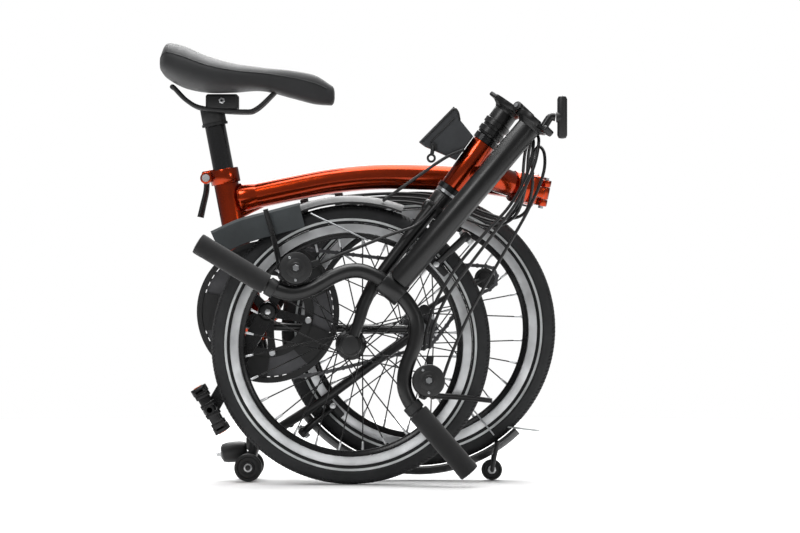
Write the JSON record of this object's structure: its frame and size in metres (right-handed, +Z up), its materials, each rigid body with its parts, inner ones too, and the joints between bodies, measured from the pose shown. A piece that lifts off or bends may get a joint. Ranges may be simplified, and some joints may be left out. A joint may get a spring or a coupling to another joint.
{
  "type": "folding bicycle",
  "caption": "Small-wheeled folding bicycle shown folded: orange curved frame, black fork, handlepost, bars and saddle.",
  "frame": {"origin": "on the floor, under the middle of the folded bicycle", "axes": "+Z up, +X forwards along the main frame, +Y to the rider's left"},
  "size_m": [0.6175, 0.3107, 0.6715],
  "materials": {
    "lacquer": "translucent flame-orange metallic lacquer, high gloss",
    "satin_black": "satin black powder coat",
    "gloss_black": "gloss black",
    "tyre": "matt ribbed rubber",
    "grip_rubber": "fine ribbed rubber",
    "flap_rubber": "dark grey rubber",
    "grey_plastic": "dark grey moulded plastic",
    "black_plastic": "black moulded plastic or anodised aluminium",
    "vinyl": "matt black saddle cover",
    "rim_silver": "machined aluminium brake track",
    "steel": "zinc-plated steel",
    "cable": "black cable sheath"
  },
  "bodies": {
    "frame": {"main_frame": "lacquer", "rear_pivot_bolt": "steel", "main_hinge_pin": "steel", "seat_clamp_bolt": "steel", "chain": "steel", "rear_brake_cable": "cable"},
    "hinge_clamp": {"main_hinge_clamp_lever": "black_plastic"},
    "seat_lever": {"seat_clamp_lever": "black_plastic"},
    "front_section": {"front_frame": "lacquer", "upper_headset_cup": "black_plastic", "lower_headset_cup": "black_plastic", "carrier_block": "grey_plastic"},
    "carrier_lever": {"carrier_release": "black_plastic"},
    "headset": {"headset_bearing": "steel"},
    "fork": {"fork": "satin_black", "steerer_hinge": "satin_black", "front_axle": "steel", "front_mudguard": "black_plastic", "front_mudguard_flap": "flap_rubber", "front_brake": "black_plastic", "front_brake_cable": "cable"},
    "front_wheel": {"front_tyre": "tyre", "front_rim": "rim_silver", "front_hub": "black_plastic", "front_spokes": "steel"},
    "handlepost": {"handlepost": "satin_black", "handlepost_hinge_pin": "steel", "handlebar": "satin_black", "right_grip": "grip_rubber", "left_grip": "grip_rubber", "right_shifter": "black_plastic", "left_shifter": "black_plastic"},
    "post_clamp": {"handlepost_clamp_lever": "black_plastic"},
    "right_brake": {"right_brake_lever": "black_plastic"},
    "left_brake": {"left_brake_lever": "black_plastic"},
    "right_trigger": {"right_shift_trigger": "black_plastic"},
    "left_trigger": {"left_shift_trigger": "black_plastic"},
    "rear_frame": {"rear_frame": "satin_black", "suspension_block": "black_plastic", "rear_axle": "steel", "rear_mudguard": "black_plastic", "rear_brake": "black_plastic", "mudguard_stay": "black_plastic"},
    "rear_wheel": {"rear_tyre": "tyre", "rear_rim": "rim_silver", "rear_hub": "rim_silver", "rear_spokes": "steel"},
    "roller_right": {"right_roller": "black_plastic"},
    "roller_left": {"left_roller": "black_plastic"},
    "roller_mudguard": {"mudguard_roller": "black_plastic"},
    "tensioner": {"chain_tensioner": "black_plastic"},
    "cranks": {"right_crank": "black_plastic", "chainring": "black_plastic", "chain_guard": "black_plastic", "left_crank": "black_plastic"},
    "pedal_right": {"right_pedal": "black_plastic"},
    "pedal_left": {"left_pedal": "black_plastic"},
    "seat": {"seatpost": "gloss_black", "saddle_rails": "black_plastic", "saddle": "vinyl"}
  },
  "joints": [
    {"name": "main_fold", "type": "hinge", "parent": "frame", "child": "front_section", "pos_m": [0.2792, 0.0281, 0.442], "axis": [0.207, -0.093, 0.9739], "range_deg": [0, 156.2], "deforming": ["rear_brake_cable", "front_mudguard_flap"]},
    {"name": "fork_turn", "type": "hinge", "parent": "front_section", "child": "headset", "pos_m": [0.1415, -0.0606, 0.4542], "axis": [0.585, 0, 0.8111], "range_deg": [-154.01, 0]},
    {"name": "steering", "type": "hinge", "parent": "headset", "child": "fork", "pos_m": [0.1415, -0.0606, 0.4542], "axis": [0.585, 0, 0.8111], "range_deg": [-6, 8]},
    {"name": "front_wheel_spin", "type": "hinge", "parent": "fork", "child": "front_wheel", "pos_m": [-0.01539, -0.0606, 0.21103], "axis": [0, 1, 0], "continuous": true},
    {"name": "handlepost_fold", "type": "hinge", "parent": "fork", "child": "handlepost", "pos_m": [0.24502, -0.0816, 0.56201], "axis": [-0.541, -0.7061, 0.4569], "range_deg": [0, 180], "deforming": ["front_brake_cable"]},
    {"name": "handlepost_clamp_turn", "type": "hinge", "parent": "handlepost", "child": "post_clamp", "pos_m": [0.2973, -0.1326, 0.552], "axis": [1, 0, 0], "range_deg": [-180, 180]},
    {"name": "right_brake_squeeze", "type": "hinge", "parent": "handlepost", "child": "right_brake", "pos_m": [-0.12115, -0.10085, 0.32843], "axis": [0.3989, -0.9016, 0.1676], "range_deg": [0, 14], "stiffness_Nm_per_rad": 1},
    {"name": "right_shift", "type": "hinge", "parent": "handlepost", "child": "right_trigger", "pos_m": [-0.09794, -0.11802, 0.32499], "axis": [-0.047, 0.9971, -0.0602], "range_deg": [0, 20], "stiffness_Nm_per_rad": 0.5},
    {"name": "left_brake_squeeze", "type": "hinge", "parent": "handlepost", "child": "left_brake", "pos_m": [0.10806, -0.10173, 0.13487], "axis": [-0.0944, 0.9004, -0.4247], "range_deg": [0, 14], "stiffness_Nm_per_rad": 1},
    {"name": "left_shift", "type": "hinge", "parent": "handlepost", "child": "left_trigger", "pos_m": [0.10071, -0.11878, 0.15724], "axis": [0.047, -0.9971, 0.0602], "range_deg": [0, 20], "stiffness_Nm_per_rad": 0.5},
    {"name": "rear_fold", "type": "hinge", "parent": "frame", "child": "rear_frame", "pos_m": [-0.2077, 0.0574, 0.245], "axis": [0, 1, 0], "range_deg": [0, 167.5], "deforming": ["chain"]},
    {"name": "rear_wheel_spin", "type": "hinge", "parent": "rear_frame", "child": "rear_wheel", "pos_m": [0.0873, 0.0574, 0.2335], "axis": [0, 1, 0], "continuous": true},
    {"name": "right_roller_spin", "type": "hinge", "parent": "rear_frame", "child": "roller_right", "pos_m": [-0.1734, 0.0124, 0.0213], "axis": [0, 1, 0], "continuous": true},
    {"name": "left_roller_spin", "type": "hinge", "parent": "rear_frame", "child": "roller_left", "pos_m": [-0.1734, 0.1024, 0.0213], "axis": [0, 1, 0], "continuous": true},
    {"name": "mudguard_roller_spin", "type": "hinge", "parent": "rear_frame", "child": "roller_mudguard", "pos_m": [0.2003, 0.0574, 0.016], "axis": [0, 1, 0], "continuous": true},
    {"name": "chain_tension", "type": "hinge", "parent": "rear_frame", "child": "tensioner", "pos_m": [0.0959, 0.0039, 0.262], "axis": [0, 1, 0], "range_deg": [-15, 15], "stiffness_Nm_per_rad": 1.5},
    {"name": "crank_turn", "type": "hinge", "parent": "frame", "child": "cranks", "pos_m": [-0.1427, 0.0574, 0.26], "axis": [0, 1, 0], "range_deg": [0, 60]},
    {"name": "right_pedal_spin", "type": "hinge", "parent": "cranks", "child": "pedal_right", "pos_m": [-0.2277, -0.0536, 0.11278], "axis": [0, 1, 0], "range_deg": [-15, 20]},
    {"name": "left_pedal_fold", "type": "hinge", "parent": "cranks", "child": "pedal_left", "pos_m": [-0.0577, 0.1494, 0.40722], "axis": [-1, 0, 0], "range_deg": [0, 90]},
    {"name": "seat_height", "type": "slide", "parent": "frame", "child": "seat", "axis": [-0.1874, 0, 0.9823], "range_m": [-0.065, 0.2]},
    {"name": "main_hinge_clamp_turn", "type": "hinge", "parent": "frame", "child": "hinge_clamp", "pos_m": [0.2593, 0.0934, 0.448], "axis": [0, 1, 0], "range_deg": [-180, 180]},
    {"name": "seat_clamp_open", "type": "hinge", "parent": "frame", "child": "seat_lever", "pos_m": [-0.2397, 0.0764, 0.465], "axis": [1, 0, 0], "range_deg": [0, 110]},
    {"name": "carrier_release_press", "type": "hinge", "parent": "front_section", "child": "carrier_lever", "pos_m": [0.10944, -0.085, 0.51061], "axis": [0, 1, 0], "range_deg": [0, 25], "stiffness_Nm_per_rad": 0.3}
  ],
  "couplings": [
    {"joint": "fork_turn", "follows": "main_fold", "ratio": -0.98591},
    {"joint": "handlepost_fold", "follows": "main_fold", "ratio": 1.1524}
  ]
}
